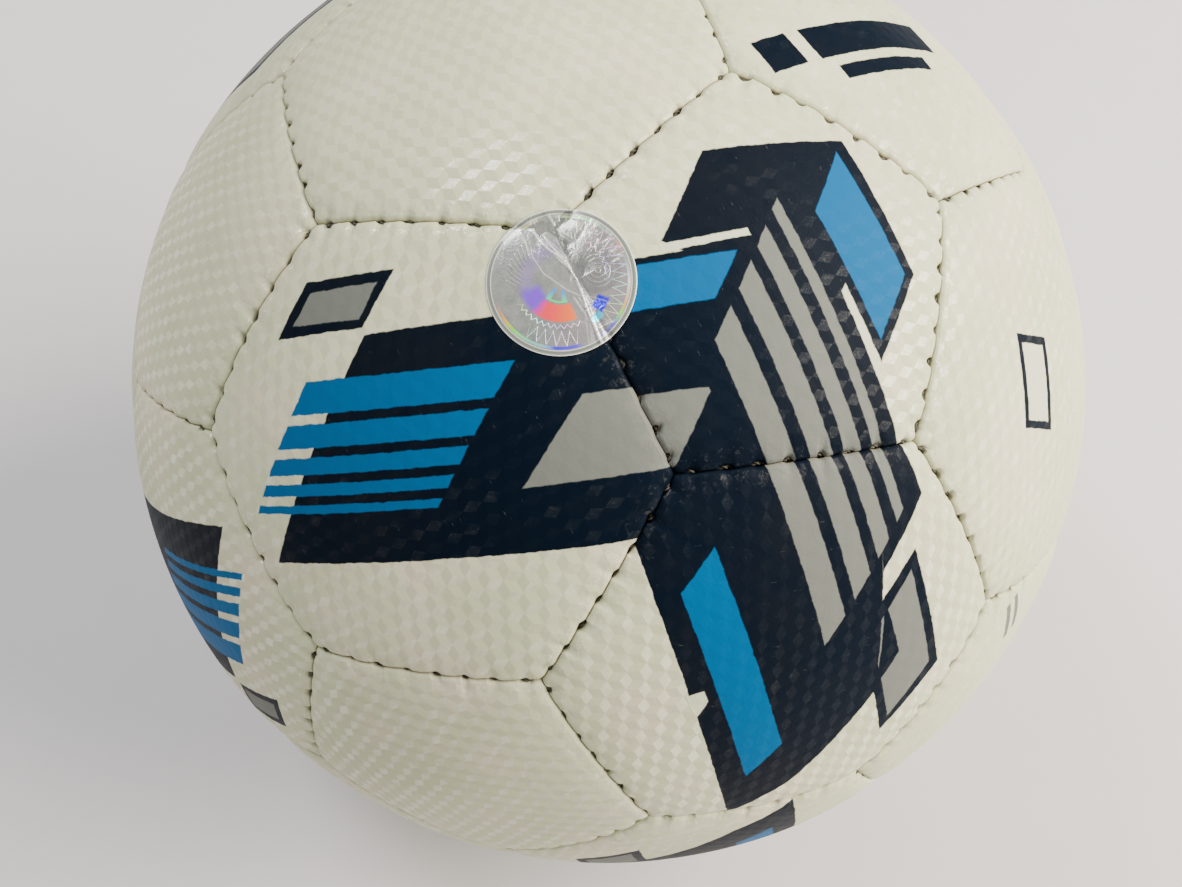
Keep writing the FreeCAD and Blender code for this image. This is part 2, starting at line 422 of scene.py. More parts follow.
class Waves:
    """A smooth unevenness: a sum of waves in set random directions."""

    def __init__(self, seed, count, shortest, longest, height):
        rng = np.random.default_rng(seed)
        lengths = rng.uniform(shortest, longest, count)
        self.vectors = unit(rng.normal(size=(count, 3))) * (2 * math.pi * BALL_RADIUS / lengths[:, None])
        self.phases = rng.uniform(0, 2 * math.pi, count)
        self.height = height / math.sqrt(count / 2)

    def at(self, points):
        return self.height * np.sin(points @ self.vectors.T + self.phases).sum(axis=1)


LUMPS = Waves(7, 14, 24.0, 60.0, 0.09)
DENTS = Waves(8, 24, 6.0, 14.0, 0.030)
TORN = Waves(9, 16, 18.0, 40.0, 2.2)
CRUMBS = Waves(10, 24, 5.0, 11.0, 0.7)


def sides_of(panel):
    """Each side as (first corner, seam, which side of the seam, whether it runs the seam's way)."""
    ids = list(panel.ordered_corners())
    out = []
    for a, b in zip(ids, ids[1:] + ids[:1]):
        forward = a < b
        seam = SEAMS[(a, b) if forward else (b, a)]
        side = 1.0 if seam.normal @ panel.centre > 0 else -1.0
        out.append((a, seam, side, forward))
    return out


def surface_depth(panel, points):
    """How far the panel's outside lies under the ball's radius at these directions."""
    depth = -LUMPS.at(points)
    for _, seam, side, _ in sides_of(panel):
        s, left = seam.along(points)
        s = np.clip(s, 0, seam.length)
        d = side * left
        x = np.clip(d - seam.edge(s, side), 0, None)
        near = np.exp(-((x / SHOULDER_REACH) ** 1.3))
        roll = 1 - np.sqrt(1 - np.clip(1 - x / LIP_RADIUS, 0, 1) ** 2)
        depth += SHOULDER_DEPTH * near + LIP_DEPTH * roll
        depth += STITCH_PULL * (seam.pull(s) - MEAN_PULL) * np.exp(-((x / PULL_REACH) ** 1.5))
        depth += WRINKLE_DEPTH * seam.wrinkles(s) * np.exp(-x / WRINKLE_REACH)
        depth += DENTS.at(points) * np.exp(-x / DENT_REACH)
    return depth


# ---------------- meshes


def make_mesh(name, points_mm, faces):
    """A smooth object from points in mm and lists of faces with equal numbers of corners."""
    mesh = bpy.data.meshes.new(name)
    mesh.from_pydata(np.asarray(points_mm) * MM, [], [face for group in faces for face in group.tolist()])
    mesh.validate()
    mesh.shade_smooth()
    obj = bpy.data.objects.new(name, mesh)
    bpy.context.scene.collection.objects.link(obj)
    return obj


def columns(*parts):
    return np.stack(parts, axis=1)


def store_vectors(obj, name, values):
    """A vector for each point, which materials read by its name."""
    layer = obj.data.attributes.new(name, "FLOAT_VECTOR", "POINT")
    layer.data.foreach_set("vector", np.asarray(values, dtype=np.float32).ravel())


def join_rings(first, first_count, second, second_count):
    """Triangles and quads between two closed rings, one of which may have twice the other's points."""
    count = min(first_count, second_count)
    i = np.arange(count)
    j = (i + 1) % count
    if first_count == second_count:
        return [], [columns(first + i, second + i, second + j, first + j)]
    widens = second_count > first_count
    fine, coarse = (second, first) if widens else (first, second)
    a, b, c = fine + 2 * i, fine + 2 * i + 1, fine + (2 * i + 2) % (2 * count)
    if widens:
        tris = [[coarse + i, a, b], [coarse + i, b, coarse + j], [coarse + j, b, c]]
    else:
        tris = [[a, coarse + i, b], [b, coarse + i, coarse + j], [b, coarse + j, c]]
    return [columns(*t) for t in tris], []


class PanelShape:
    """Builds one panel's closed shell, ring by ring, out over the top and back underneath."""

    def __init__(self, panel):
        self.panel = panel
        self.sides = sides_of(panel)
        ids = [side[0] for side in self.sides]
        rays = CORNERS[ids]
        self.flat = columns(rays @ panel.x_axis, rays @ panel.y_axis)
        self.flat *= BALL_RADIUS / (rays @ panel.centre)[:, None]
        self.inner_radius = float(np.linalg.norm((self.flat[0] + self.flat[1]) / 2))
        self.points = []
        self.insets = []
        self.rings = []
        self.has_hole = panel.name == VALVE_PANEL

    def directions(self, inset, per_side, at_lip=True):
        """A ring's directions, inset in mm from the panel's lip, or from the wall of the seam's tunnel."""
        spots = []
        for a, b, (_, seam, side, forward) in zip(self.flat, np.roll(self.flat, -1, axis=0), self.sides):
            s = seam.marks(forward)[::FINE // per_side]
            t = seam.share(s) if forward else 1 - seam.share(s)
            edge = seam.edge(s, side) if at_lip else TUNNEL_HALF_WIDTH
            share = 1 - (inset + edge * (1 - inset / self.inner_radius)) / self.inner_radius
            line = a + (b - a) * t[:, None]
            spots.append(line * np.broadcast_to(share, t.shape)[:, None])
        flat = np.concatenate(spots)
        if self.has_hole:
            flat = self.rounded(flat)
        p = self.panel
        return unit(p.centre * BALL_RADIUS + flat[:, :1] * p.x_axis + flat[:, 1:] * p.y_axis)

    def rounded(self, flat):
        """Turns the rings near the middle of the valve's panel into circles round its hole."""
        length = np.linalg.norm(flat, axis=1)
        mean = length.mean()
        share = np.clip((0.8 * self.inner_radius - mean) / (0.45 * self.inner_radius), 0, 1)
        return flat * ((1 - share) + share * mean / length)[:, None]

    def ring(self, points, depth, inset):
        start = sum(len(p) for p in self.points)
        self.points.append(points * (BALL_RADIUS - depth)[:, None])
        self.insets.append(np.full(len(points), inset))
        self.rings.append((start, len(points)))

    def pole(self, depth, inset):
        """The middle of the panel: one point, or a ring at the rim of the valve's hole."""
        if self.has_hole:
            turn = np.arange(VALVE_HOLE_SIDES) * 2 * math.pi / VALVE_HOLE_SIDES
            turn += math.atan2(self.flat[0][1], self.flat[0][0])
            p = self.panel
            flat = VALVE_HOLE_RADIUS * (np.cos(turn)[:, None] * p.x_axis + np.sin(turn)[:, None] * p.y_axis)
            self.ring(unit(p.centre * BALL_RADIUS + flat), np.full(len(turn), depth), inset)
        else:
            self.ring(self.panel.centre[None, :], np.array([depth]), inset)


    def faces(self):
        """Triangles and quads from each ring to the next, and through the valve's hole if it has one."""
        tris, quads = [], []
        for (a, na), (b, nb) in zip(self.rings, self.rings[1:]):
            if na == 1:
                i = np.arange(nb)
                tris.append(columns(np.full(nb, a), b + i, b + (i + 1) % nb))
            elif nb == 1:
                i = np.arange(na)
                tris.append(columns(a + i, np.full(na, b), a + (i + 1) % na))
            else:
                t, q = join_rings(a, na, b, nb)
                tris.extend(t)
                quads.extend(q)
        if self.has_hole:
            quads.extend(join_rings(*self.rings[-1], *self.rings[0])[1])
        return [np.concatenate(tris), np.concatenate(quads)]


def top_rings(shape):
    """The rings on top, from the middle to the lip: (distance inside the lip, points per side)."""
    widest = shape.inner_radius - (VALVE_HOLE_RADIUS + 0.8 if shape.has_hole else 0.0)
    out = []
    for inset in (*TOP_RINGS, *np.arange(TOP_START, shape.inner_radius - 1.0, TOP_STEP)):
        thinning = 1 if inset < 3.0 else 2 if inset < 8.0 else 4 if inset < 20.0 else 8
        if inset < widest:
            out.append((inset, FINE // thinning))
    return out[::-1]


def build_panel(panel):
    """One cover panel as a closed shell with turned-in edges."""
    shape = PanelShape(panel)
    centre_depth = float(surface_depth(panel, panel.centre[None, :])[0])
    shape.pole(centre_depth + (0.35 if shape.has_hole else 0.0), WIDEST_INSET)
    for inset, per_side in top_rings(shape):
        points = shape.directions(inset, per_side)
        lip_depth = surface_depth(panel, points)
        shape.ring(points, lip_depth, min(inset, WIDEST_INSET))
    for extra, lip_share, thinning in EDGE_RINGS:
        lip = shape.directions(0.0, FINE // thinning)
        wall = shape.directions(0.0, FINE // thinning, at_lip=False)
        shape.ring(unit(lip * lip_share + wall * (1 - lip_share)), lip_depth[::thinning] + extra, 0.0)
    for inset, depth in FOLD_RINGS:
        points = shape.directions(inset, FINE // 4, at_lip=False)
        shape.ring(points, np.full(len(points), depth), 0.0)
    for inset, thinning in UNDER_RINGS:
        if inset < shape.inner_radius - VALVE_HOLE_RADIUS - 3.0:
            points = shape.directions(inset, FINE // thinning, at_lip=False)
            shape.ring(points, np.maximum(surface_depth(panel, points) + 0.55, COVER_THICKNESS), 0.0)
    shape.pole(COVER_THICKNESS, 0.0)

    points = np.concatenate(shape.points)
    obj = make_mesh("panel_" + panel.name, points, shape.faces())

    rays = unit(points)
    angle = np.arccos(np.clip(rays @ panel.centre, -1, 1))
    x, y = rays @ panel.x_axis, rays @ panel.y_axis
    size = np.maximum(np.hypot(x, y), 1e-9)
    insets = np.concatenate(shape.insets)
    arc = angle * BALL_RADIUS / size
    store_vectors(obj, "panel_mm", columns(x * arc, y * arc, insets))
    return obj


# ---------------- materials


class Graph:
    """A material's nodes, made by short calls. Each value is a number, a tuple or another node's socket."""

    def __init__(self, name):
        self.material = bpy.data.materials.new(name)
        self.material.use_nodes = True
        self.tree = self.material.node_tree
        self.tree.nodes.clear()

    def put(self, socket, value):
        if isinstance(value, bpy.types.NodeSocket):
            self.tree.links.new(value, socket)
        else:
            socket.default_value = value

    def node(self, kind, inputs=None, **settings):
        made = self.tree.nodes.new("ShaderNode" + kind)
        for key, value in settings.items():
            setattr(made, key, value)
        for key, value in (inputs or {}).items():
            self.put(made.inputs[key], value)
        return made

    def math(self, operation, *values, clamp=False):
        return self.node("Math", dict(enumerate(values)), operation=operation, use_clamp=clamp).outputs[0]

    def fold(self, operation, values):
        """One operation over several values, from the left."""
        result = values[0]
        for value in values[1:]:
            result = self.math(operation, result, value)
        return result

    def times(self, *values):
        return self.fold("MULTIPLY", values)

    def plus(self, *values):
        return self.fold("ADD", values)

    def most(self, *values):
        return self.fold("MAXIMUM", values)

    def minus(self, a, b):
        return self.math("SUBTRACT", a, b)

    def rest(self, value):
        """What is left of 1."""
        return self.minus(1.0, value)

    def vector(self, operation, *values, result="Vector"):
        return self.node("VectorMath", dict(enumerate(values)), operation=operation).outputs[result]

    def dot(self, a, b):
        return self.vector("DOT_PRODUCT", a, b, result="Value")

    def length(self, a):
        return self.vector("LENGTH", a, result="Value")

    def where(self):
        """The place on the object, in metres."""
        return self.node("TexCoord").outputs["Object"]

    def noise(self, where, scale, detail=2.0, roughness=0.5, result="Fac"):
        inputs = {"Vector": where, "Scale": scale, "Detail": detail, "Roughness": roughness}
        return self.node("TexNoise", inputs).outputs[result]

    def between(self, value, low, high):
        """0 at low, 1 at high, straight between."""
        inputs = {"Value": value, "From Min": low, "From Max": high}
        return self.node("MapRange", inputs, clamp=True).outputs["Result"]

    def patches(self, where, scale, detail, roughness, low, high):
        """Noise as patches: 0 where it is under low, 1 where it is over high."""
        return self.between(self.noise(where, scale, detail, roughness), low, high)

    def blend(self, share, a, b):
        """From colour a to colour b. A colour is a socket, or an sRGB tuple of 0 to 255."""
        made = self.node("Mix", data_type="RGBA")
        self.put(made.inputs[0], share)
        for number, colour in ((6, a), (7, b)):
            self.put(made.inputs[number], linear(colour) if isinstance(colour, tuple) else colour)
        return made.outputs[2]

    def over(self, base, colour, share, strength=1.0):
        """One colour laid over another, as far as share and strength say."""
        if strength != 1.0:
            share = self.times(share, strength)
        return self.blend(share, base, colour)

    def ramp(self, value, stops):
        """A colour for each value from 0 to 1, from (value, colour, opacity) rows."""
        made = self.node("ValToRGB", {"Fac": value})
        elements = made.color_ramp.elements
        while len(elements) < len(stops):
            elements.new(0.5)
        for element, (at, colour, opacity) in zip(elements, stops):
            element.position = at
            element.color = (*linear(colour)[:3], opacity)
        return made.outputs

    def attribute(self, name):
        return self.node("Attribute", attribute_name=name, attribute_type="GEOMETRY").outputs["Vector"]

    def bump(self, height, strength=1.0, depth=1.0):
        """The normal over a relief: a height of 1 stands for depth in mm."""
        return self.node("Bump", {"Height": height, "Strength": strength, "Distance": depth * MM}).outputs[0]

    def surface(self, **inputs):
        shader = self.node("BsdfPrincipled", {k.replace("_", " "): v for k, v in inputs.items()})
        out = self.node("OutputMaterial")
        self.tree.links.new(shader.outputs[0], out.inputs["Surface"])
        return self.material


def inside(g, place, outline, softness=0.10):
    """1 inside a convex outline of points in mm, 0 outside."""
    points = np.array(outline, dtype=float)
    following = np.roll(points, -1, axis=0)
    area = (points[:, 0] * following[:, 1] - following[:, 0] * points[:, 1]).sum()
    nearest = None
    for a, b in zip(points, following):
        along = unit(b - a) * (1.0 if area > 0 else -1.0)
        inward = (-along[1], along[0])
        across = g.dot(place, (inward[0], inward[1], 0.0))
        offset = -float(inward[0] * a[0] + inward[1] * a[1])
        distance = g.plus(across, offset)
        nearest = distance if nearest is None else g.math("MINIMUM", nearest, distance)
    return g.between(nearest, -softness, softness)


def block_height(g, place):
    """The embossing: stacked cubes seen from a corner. Its height, and 1 on one of each cube's rhombs."""
    half = (BLOCK_PITCH / 2, BLOCK_PITCH * math.sqrt(3) / 2, 0.5)
    back = tuple(-v for v in half)
    flat = (1.0, 1.0, 0.0)
    moved = g.vector("ADD", place, (half[0], half[1], 0.0))
    first = g.vector("MULTIPLY", g.vector("WRAP", place, half, back), flat)
    second = g.vector("MULTIPLY", g.vector("WRAP", moved, half, back), flat)
    closer = g.math("LESS_THAN", g.length(second), g.length(first))
    cell = g.node("Mix", data_type="VECTOR")
    for number, value in ((0, closer), (4, first), (5, second)):
        g.put(cell.inputs[number], value)
    heights = []
    for turn in (90, 210, 330):
        slope = (math.cos(math.radians(turn)), math.sin(math.radians(turn)), 0.0)
        heights.append(g.dot(cell.outputs[1], slope))
    others = g.most(heights[1], heights[2])
    rhomb = g.between(g.minus(heights[0], others), -0.05, 0.22)
    return g.most(heights[0], others), rhomb


def bars_across(corner, along, across, shares):
    """Parallel bars that fill a parallelogram, each from one share of its width to another."""
    corner, along, across = (np.array(v, dtype=float) for v in (corner, along, across))
    out = []
    for low, high in shares:
        a, b = corner + across * low, corner + across * high
        out.append((a, a + along, b + along, b))
    return out


def diminishing(count, first, ratio, gap):
    """Shares for bars that get narrower, with equal gaps."""
    shares, start = [], 0.0
    for k in range(count):
        width = first * ratio ** k
        shares.append((start, start + width))
        start += width + gap
    return shares


def meet(p, heading, a, b):
    """Where the line from p along heading crosses the line through a and b."""
    p, heading, a, b = (np.array(v, dtype=float) for v in (p, heading, a, b))
    side = b - a
    t = (side[0] * (a[1] - p[1]) - side[1] * (a[0] - p[0])) / (side[0] * heading[1] - side[1] * heading[0])
    return p + heading * t


# Grey bars start on the block pentagon, cross the seam and end on the tip hexagon
GREY_BARS = ((10.5, 15.0), (4.5, 8.2), (-0.3, 2.5), (-4.2, -2.4))
TIP_HEADING = np.array((-0.948, -0.318))
TIP_BARS_END = ((3.4, -2.9), (28.7, -18.8))


def grey_bars_on_block():
    out = []
    for low, high in GREY_BARS:
        ends = [(x, -9.5 + 0.8 * (x + 3.3)) for x in (low, high)]
        out.append((ends[0], ends[1], (high, 40.0), (low, 40.0)))
    return out


def grey_bars_on_tip():
    """Each bar goes on from where it crosses the seam, at the same share of the seam's length."""
    block_end, block_seam = 28.4, 39.3
    tip_x, tip_seam = 36.1, 41.6
    out = []
    for low, high in GREY_BARS:
        starts = [(tip_x, tip_seam / 2 - tip_seam * (block_end - x) / block_seam) for x in (low, high)]
        ends = [meet(p, TIP_HEADING, *TIP_BARS_END) for p in starts]
        starts = [p - 4 * TIP_HEADING for p in starts]
        out.append((starts[0], starts[1], ends[1], ends[0]))
    return out


def slab_print():
    """The hexagon at the wide end of a group."""
    yield NAVY, ((3, 19.5), (-31.5, -5), (40, -32), (40, 6.7))
    yield NAVY, ((-3.9, 32.2), (11.3, 26.6), (3, 20.7), (-12.4, 26.4))
    yield GREY, ((-3.7, 30.3), (8, 26.1), (3, 22.2), (-8.7, 26.9))
    for bar in bars_across((-9.8, 17.8), (32.7, -12.5), (-19.9, -13.5), diminishing(5, 0.26, 0.72, 0.075)):
        yield BLUE, bar
    yield GREY, ((29.6, -3.6), (15.3, -12), (40, -20.9), (40, -7.3))


def block_print():
    """The pentagon in the middle of a group."""
    yield NAVY, ((15.2, -11.6), (2.5, -21.7), (-20.4, -14.7), (-20.9, 9.1), (-8, 19.4))
    yield NAVY, ((30, -13.9), (-7, -2.9), (-7, 40), (30, 40))
    yield CREAM, ((15.6, -11.2), (2.6, -7.9), (2.6, -6.7), (15.6, -9.9))
    yield CREAM, ((-8, 5.8), (-8.6, 19), (-8, 20.6), (-6.9, 20.6), (-6.8, 6.6))
    yield BLUE, ((-18.2, -13.4), (-9, -6), (-9.9, 15.9), (-19.2, 8.5))
    yield BLUE, ((20.2, -9.9), (5.6, -5.5), (12.2, -0.4), (26.5, -4.7))
    yield GREY, ((30, 7), (18.8, 10.8), (18.8, 11.5), (28, 19.5), (30, 19.5))
    for bar in grey_bars_on_block():
        yield GREY, bar


def tip_print():
    """The hexagon where a group runs out."""
    yield NAVY, ((18.7, -19.8), (-6.7, -29), (-19.6, -19.4), (5.8, -10.2))
    yield GREY, ((15, -19.3), (-5.9, -26.8), (-16.1, -20.1), (4.4, -12.6))
    yield NAVY, ((40, 32.2), (-36, 6.7), (-27.5, -3), (-8.3, -15.5), (15.9, -13.6), (40, -11.6))
    yield NAVY, ((15.9, -13.6), (27.7, -21), (40, -16.2), (40, -11))
    yield NAVY, ((11, -14.5), (-0.8, -19.1), (-7, -15.5))
    yield CREAM, ((-1.9, 18.5), (-0.9, 15.9), (-3.1, 15), (-6.5, 16.5))
    yield BLUE, ((24.8, 15.2), (17.4, 20.4), (-23, 6.1), (-15.5, 0.9))
    for bar in grey_bars_on_tip():
        yield GREY, bar


def banner_print():
    """The big plain hexagons at the ends of the ball: a square and two bars, slanting."""
    across = (4.2, 5.6)
    for corner, along, width in (
        ((29.5, -19.5), (-6.0, 4.5), 1.0),
        ((21.0, -13.1), (-28.0, 21.0), 1.0),
        ((24.5, -4.5), (-20.0, 15.0), 0.42),
    ):
        yield NAVY, bars_across(corner, along, across, ((0.0, width),))[0]


def badge_print():
    """A plain hexagon with one small framed parallelogram."""
    yield NAVY, ((-6.5, 16.5), (-15.5, 3.0), (-8.5, -4.5), (0.5, 9.0))
    yield CREAM, ((-6.4, 14.3), (-13.7, 3.2), (-8.6, -2.3), (-1.3, 8.8))


def dash_print():
    """A pentagon with two short dashes."""
    for bar in bars_across((-28.0, 4.0), (10.0, -1.2), (0.6, 4.4), ((0.0, 0.3), (0.62, 0.92))):
        yield GREY, bar


PRINTS = {
    "plain": (),
    "slab": tuple(slab_print()),
    "block": tuple(block_print()),
    "tip": tuple(tip_print()),
    "banner": tuple(banner_print()),
    "badge": tuple(badge_print()),
    "dash": tuple(dash_print()),
}


def bare_cover(g, where, inset, facet):
    """The cover's colour: mottled, flushed pink in places, and lighter on one facet of each block, partly a
    painted highlight where that facet faces the light and partly polish.
    """
    base = g.blend(g.patches(where, *MOTTLED), *PEARL)
    base = g.over(base, FLUSHED, g.patches(where, *FLUSHED_SPOTS), 0.48)
    # Painted highlight on the one facet of each block that faces the light, partly rubbed polish.
    facet_highlight = g.times(facet, g.patches(where, *FACET_HIGHLIGHT_SPOTS), g.between(inset, 1.5, 5.0))
    return g.over(base, POLISHED_FACET_HIGHLIGHT, facet_highlight, 0.55)


def inked_cover(g, base, place, kind):
    """The colour with its print on it, where any ink is, and where the navy ink is."""
    inked = 0.0
    navy = 0.0
    for ink, outline in PRINTS[kind]:
        mask = inside(g, place, outline)
        base = g.over(base, ink, mask)
        inked = g.most(inked, mask)
        if ink is NAVY:
            navy = g.most(navy, mask)
        elif navy != 0.0:
            navy = g.times(navy, g.rest(mask))
    return base, inked, navy


def worn_and_glinting_navy(g, base, where, place, facet, grit, navy):
    """The marks on navy ink: lighter facets in patches, partly rubbed wear and partly painted glints, then
    haze and scratches.
    """
    # Lighter facets in patches on navy: partly rubbed ink, partly painted glints.
    rubbed_glints = g.times(facet, g.patches(where, *RUBBED_GLINT_SPOTS), navy)
    rubbed_glints = g.times(rubbed_glints, g.plus(0.35, g.times(grit, 0.65)), g.patches(where, *RUBBED_GLINT_BREAKS))
    base = g.over(base, RUBBED_INK_GLINT, rubbed_glints, 0.15)
    base = g.over(base, HAZED_INK, g.times(navy, g.patches(where, *HAZE)), 0.45)
    stretched = g.vector("MULTIPLY", place, (0.9, 0.14, 0.0))
    return g.over(base, SCRATCHED_INK, g.times(g.patches(stretched, *SCRATCHES), navy), 0.25)


def cover_material(kind):
    """Coated synthetic leather: embossed blocks, fine grain, printed inks, and painted shade in the seams,
    brownish where the cut edge shows.
    """
    g = Graph("cover_" + kind)
    raw = g.attribute("panel_mm")
    where = g.where()
    inset = g.node("SeparateXYZ", {0: raw}).outputs[2]
    lip = g.rest(g.between(inset, 0.02, 0.20))
    shoulder = g.times(g.between(inset, 0.25, 0.8), g.rest(g.between(inset, 1.6, 4.2)))
    ragged = g.vector("SUBTRACT", g.noise(where, 520.0, 3.0, 0.6, "Color"), (0.5, 0.5, 0.5))
    place = g.vector("ADD", raw, g.vector("MULTIPLY", ragged, (0.6, 0.6, 0.0)))
    blocks, facet = block_height(g, raw)
    grit = g.patches(where, *GRIT)

    base = bare_cover(g, where, inset, facet)
    base, inked, navy = inked_cover(g, base, place, kind)
    base = worn_and_glinting_navy(g, base, where, place, facet, grit, navy)
    # Painted highlights on the puckered shoulders beside the seams, fainter on inks; the same spots also get
    # some coat gloss.
    crumple_highlights = g.times(shoulder, g.patches(where, *CRUMPLE_HIGHLIGHT_SPOTS))
    base = g.over(base, CRUMPLE_HIGHLIGHT, g.times(crumple_highlights, g.minus(0.5, g.times(inked, 0.47))))
    # Painted shade down the seams at the lip: brownish where the cut edge shows, black under navy ink.
    base = g.over(base, g.blend(navy, SEAM_EDGE_AND_SHADE, SEAM_SHADE_UNDER_NAVY), lip, 0.5)

    grain = g.noise(where, 1500.0, 3.0, 0.6)
    pores = g.noise(where, 420.0, 3.0, 0.55)
    rough = g.plus(g.times(grain, 0.030), g.times(pores, 0.05))
    rough = g.plus(rough, g.times(shoulder, pores, 0.16))
    relief = g.times(blocks, g.rest(g.times(inked, 0.7)))
    height = g.plus(g.times(relief, BLOCK_SLOPE), rough)
    glaze = g.plus(g.times(blocks, GLAZE_SLOPE), rough)
    roughness = g.plus(0.40, g.times(g.noise(where, 60.0, 5.0, 0.65), 0.16))
    gloss = g.times(facet, g.plus(0.30, g.times(grit, 0.70)))
    gloss = g.most(gloss, g.times(crumple_highlights, 0.5))
    matt = g.times(inked, g.minus(0.97, g.times(navy, 0.07)))
    gloss = g.times(gloss, g.rest(matt))
    return g.surface(Base_Color=base, Roughness=roughness, Specular_IOR_Level=0.03, Normal=g.bump(height),
                     Coat_Weight=gloss, Coat_Roughness=0.22, Coat_IOR=1.8, Coat_Normal=g.bump(glaze))


def plain_material(name, dark, light, roughness, grain_scale, grain_height):
    """A matt moulded, spun or foamed material with mottled colour and a fine grain."""
    g = Graph(name)
    where = g.where()
    colour = g.blend(g.noise(where, grain_scale * 0.2, 3.0), dark, light)
    height = g.noise(where, grain_scale, 3.0, 0.6)
    rough = g.plus(roughness, g.times(g.noise(where, grain_scale * 0.5), 0.1))
    return g.surface(Base_Color=colour, Roughness=rough, Normal=g.bump(height, 0.6, grain_height))


def lining_material():
    """Plain-woven cotton and polyester cloth: warp and weft as two crossed waves."""
    g = Graph("woven_lining")
    where = g.where()
    waves = [g.node("TexWave", {"Vector": where, "Scale": 620.0, "Distortion": 0.6}, bands_direction=axis)
             for axis in ("X", "Z")]
    cloth = g.most(*(wave.outputs["Fac"] for wave in waves))
    colour = g.blend(cloth, (178, 176, 168), (222, 220, 212))
    return g.surface(Base_Color=colour, Roughness=0.88, Normal=g.bump(cloth, 0.8, 0.2))


class Film(Graph):
    """The label's nodes: shapes in it are given by distance from its middle in mm, and turn round it."""

    def __init__(self):
        super().__init__("holographic_film")
        raw = self.attribute("label_mm")
        self.x, self.y, self.crease_highlight = self.node("SeparateXYZ", {0: raw}).outputs
        self.radius = self.math("SQRT", self.plus(self.times(self.x, self.x), self.times(self.y, self.y)))
        self.turn = self.math("DIVIDE", self.math("ARCTAN2", self.y, self.x), 2 * math.pi)
        self.flat = self.vector("MULTIPLY", raw, (1.0, 1.0, 0.0))
        self.fine = self.noise(self.flat, 2.6, 3.0, 0.65)

    def ring(self, centre, half_width, softness=0.08):
        away = self.math("ABSOLUTE", self.minus(self.radius, centre))
        return self.rest(self.between(away, half_width, half_width + softness))

    def arc(self, middle, half_turn, softness=0.03):
        away = self.math("ABSOLUTE", self.math("WRAP", self.minus(self.turn, middle), 0.5, -0.5))
        return self.rest(self.between(away, half_turn, half_turn + softness))

    def piece(self, ring, arc):
        """A piece of a ring: what ring and arc have in common, from what each is called with."""
        return self.times(self.ring(*ring), self.arc(*arc))

    def zigzag(self, inner, outer, teeth, width):
        saw = self.math("PINGPONG", self.times(self.turn, teeth * 2.0), 1.0)
        target = self.plus(inner, self.times(saw, outer - inner))
        away = self.math("ABSOLUTE", self.minus(self.radius, target))
        return self.rest(self.between(away, width, width * 2.2))

    def lines(self, position):
        """Thin engraved lines, one for each step of 1 in position."""
        return self.between(self.math("PINGPONG", position, 0.5), 0.30, 0.42)

    def spectrum(self, position, strength):
        hue = self.math("FRACT", position)
        return self.node("CombineColor", {0: hue, 1: strength, 2: 1.0}, mode="HSV").outputs[0]


def film_ground(g):
    """Silver, darker in clouds, tinted towards the right, with a faint coloured weave."""
    weave = g.noise(g.flat, 9.0, 2.0, 0.8)
    base = g.blend(g.patches(g.flat, 0.45, 3.0, 0.6, 0.3, 0.7), (116, 122, 116), (152, 152, 148))
    base = g.over(base, (154, 138, 150), g.between(g.x, -1.0, 8.0), 0.45)
    return g.over(base, g.spectrum(weave, 0.35), g.between(weave, 0.5, 0.75), 0.35)


def film_glints(g, base):
    """The pieces of strong colour in the label's lower half."""
    coral = g.blend(g.between(g.x, -1.0, 2.6), (255, 70, 84), (255, 128, 60))
    green = g.blend(g.between(g.y, -3.2, -1.6), (96, 240, 120), (40, 150, 255))
    hollow = g.piece((2.2, 0.8, 0.2), (-0.26, 0.040, 0.01))
    wedge = g.times(g.piece((2.4, 0.9, 0.12), (-0.26, 0.075, 0.01)), g.rest(hollow))
    base = g.over(base, (150, 116, 200), g.piece((5.2, 0.5, 1.2), (0.42, 0.10, 0.05)), 0.35)
    base = g.over(base, coral, g.piece((4.9, 1.2, 0.15), (-0.255, 0.085, 0.012)))
    base = g.over(base, (128, 60, 235), g.piece((4.6, 1.0, 0.9), (-0.385, 0.03, 0.05)), 0.9)
    base = g.over(base, green, wedge)
    base = g.over(base, (30, 0, 235), g.piece((6.7, 0.8, 0.2), (-0.060, 0.022, 0.008)))
    return g.over(base, (0, 220, 255), g.piece((7.6, 0.45, 0.2), (-0.105, 0.014, 0.01)))


def film_teeth(g):
    """Two rings of zigzag lines, faint but for a few stretches that catch the light."""
    outer_lit = g.most(g.arc(0.035, 0.095, 0.05), g.most(g.arc(-0.25, 0.05, 0.03), g.arc(0.23, 0.03, 0.03)))
    inner_lit = g.most(g.arc(-0.27, 0.10, 0.03), g.arc(0.11, 0.06, 0.04))
    outer = g.times(g.zigzag(7.6, 9.7, 40, 0.08), g.plus(0.08, outer_lit))
    inner = g.times(g.zigzag(6.6, 7.2, 44, 0.06), g.plus(0.08, inner_lit))
    return g.math("MAXIMUM", outer, inner, clamp=True)


def film_streaks(g):
    """Bright streaks that fan out above the knot where the folds meet."""
    from_knot = g.vector("SUBTRACT", g.flat, (*KNOT, 0.0))
    x, y, _ = g.node("SeparateXYZ", {0: from_knot}).outputs
    distance = g.length(from_knot)
    spread = g.node("CombineXYZ", {0: g.times(g.math("ARCTAN2", y, x), 15.0), 1: g.times(distance, 0.5)})
    streaks = g.patches(spread.outputs[0], 1.0, 3.0, 0.6, 0.56, 0.66)
    fan = g.times(g.between(g.y, 2.0, 5.5), g.between(distance, 9.6, 7.2))
    return g.times(fan, streaks, g.between(g.fine, 0.36, 0.50))


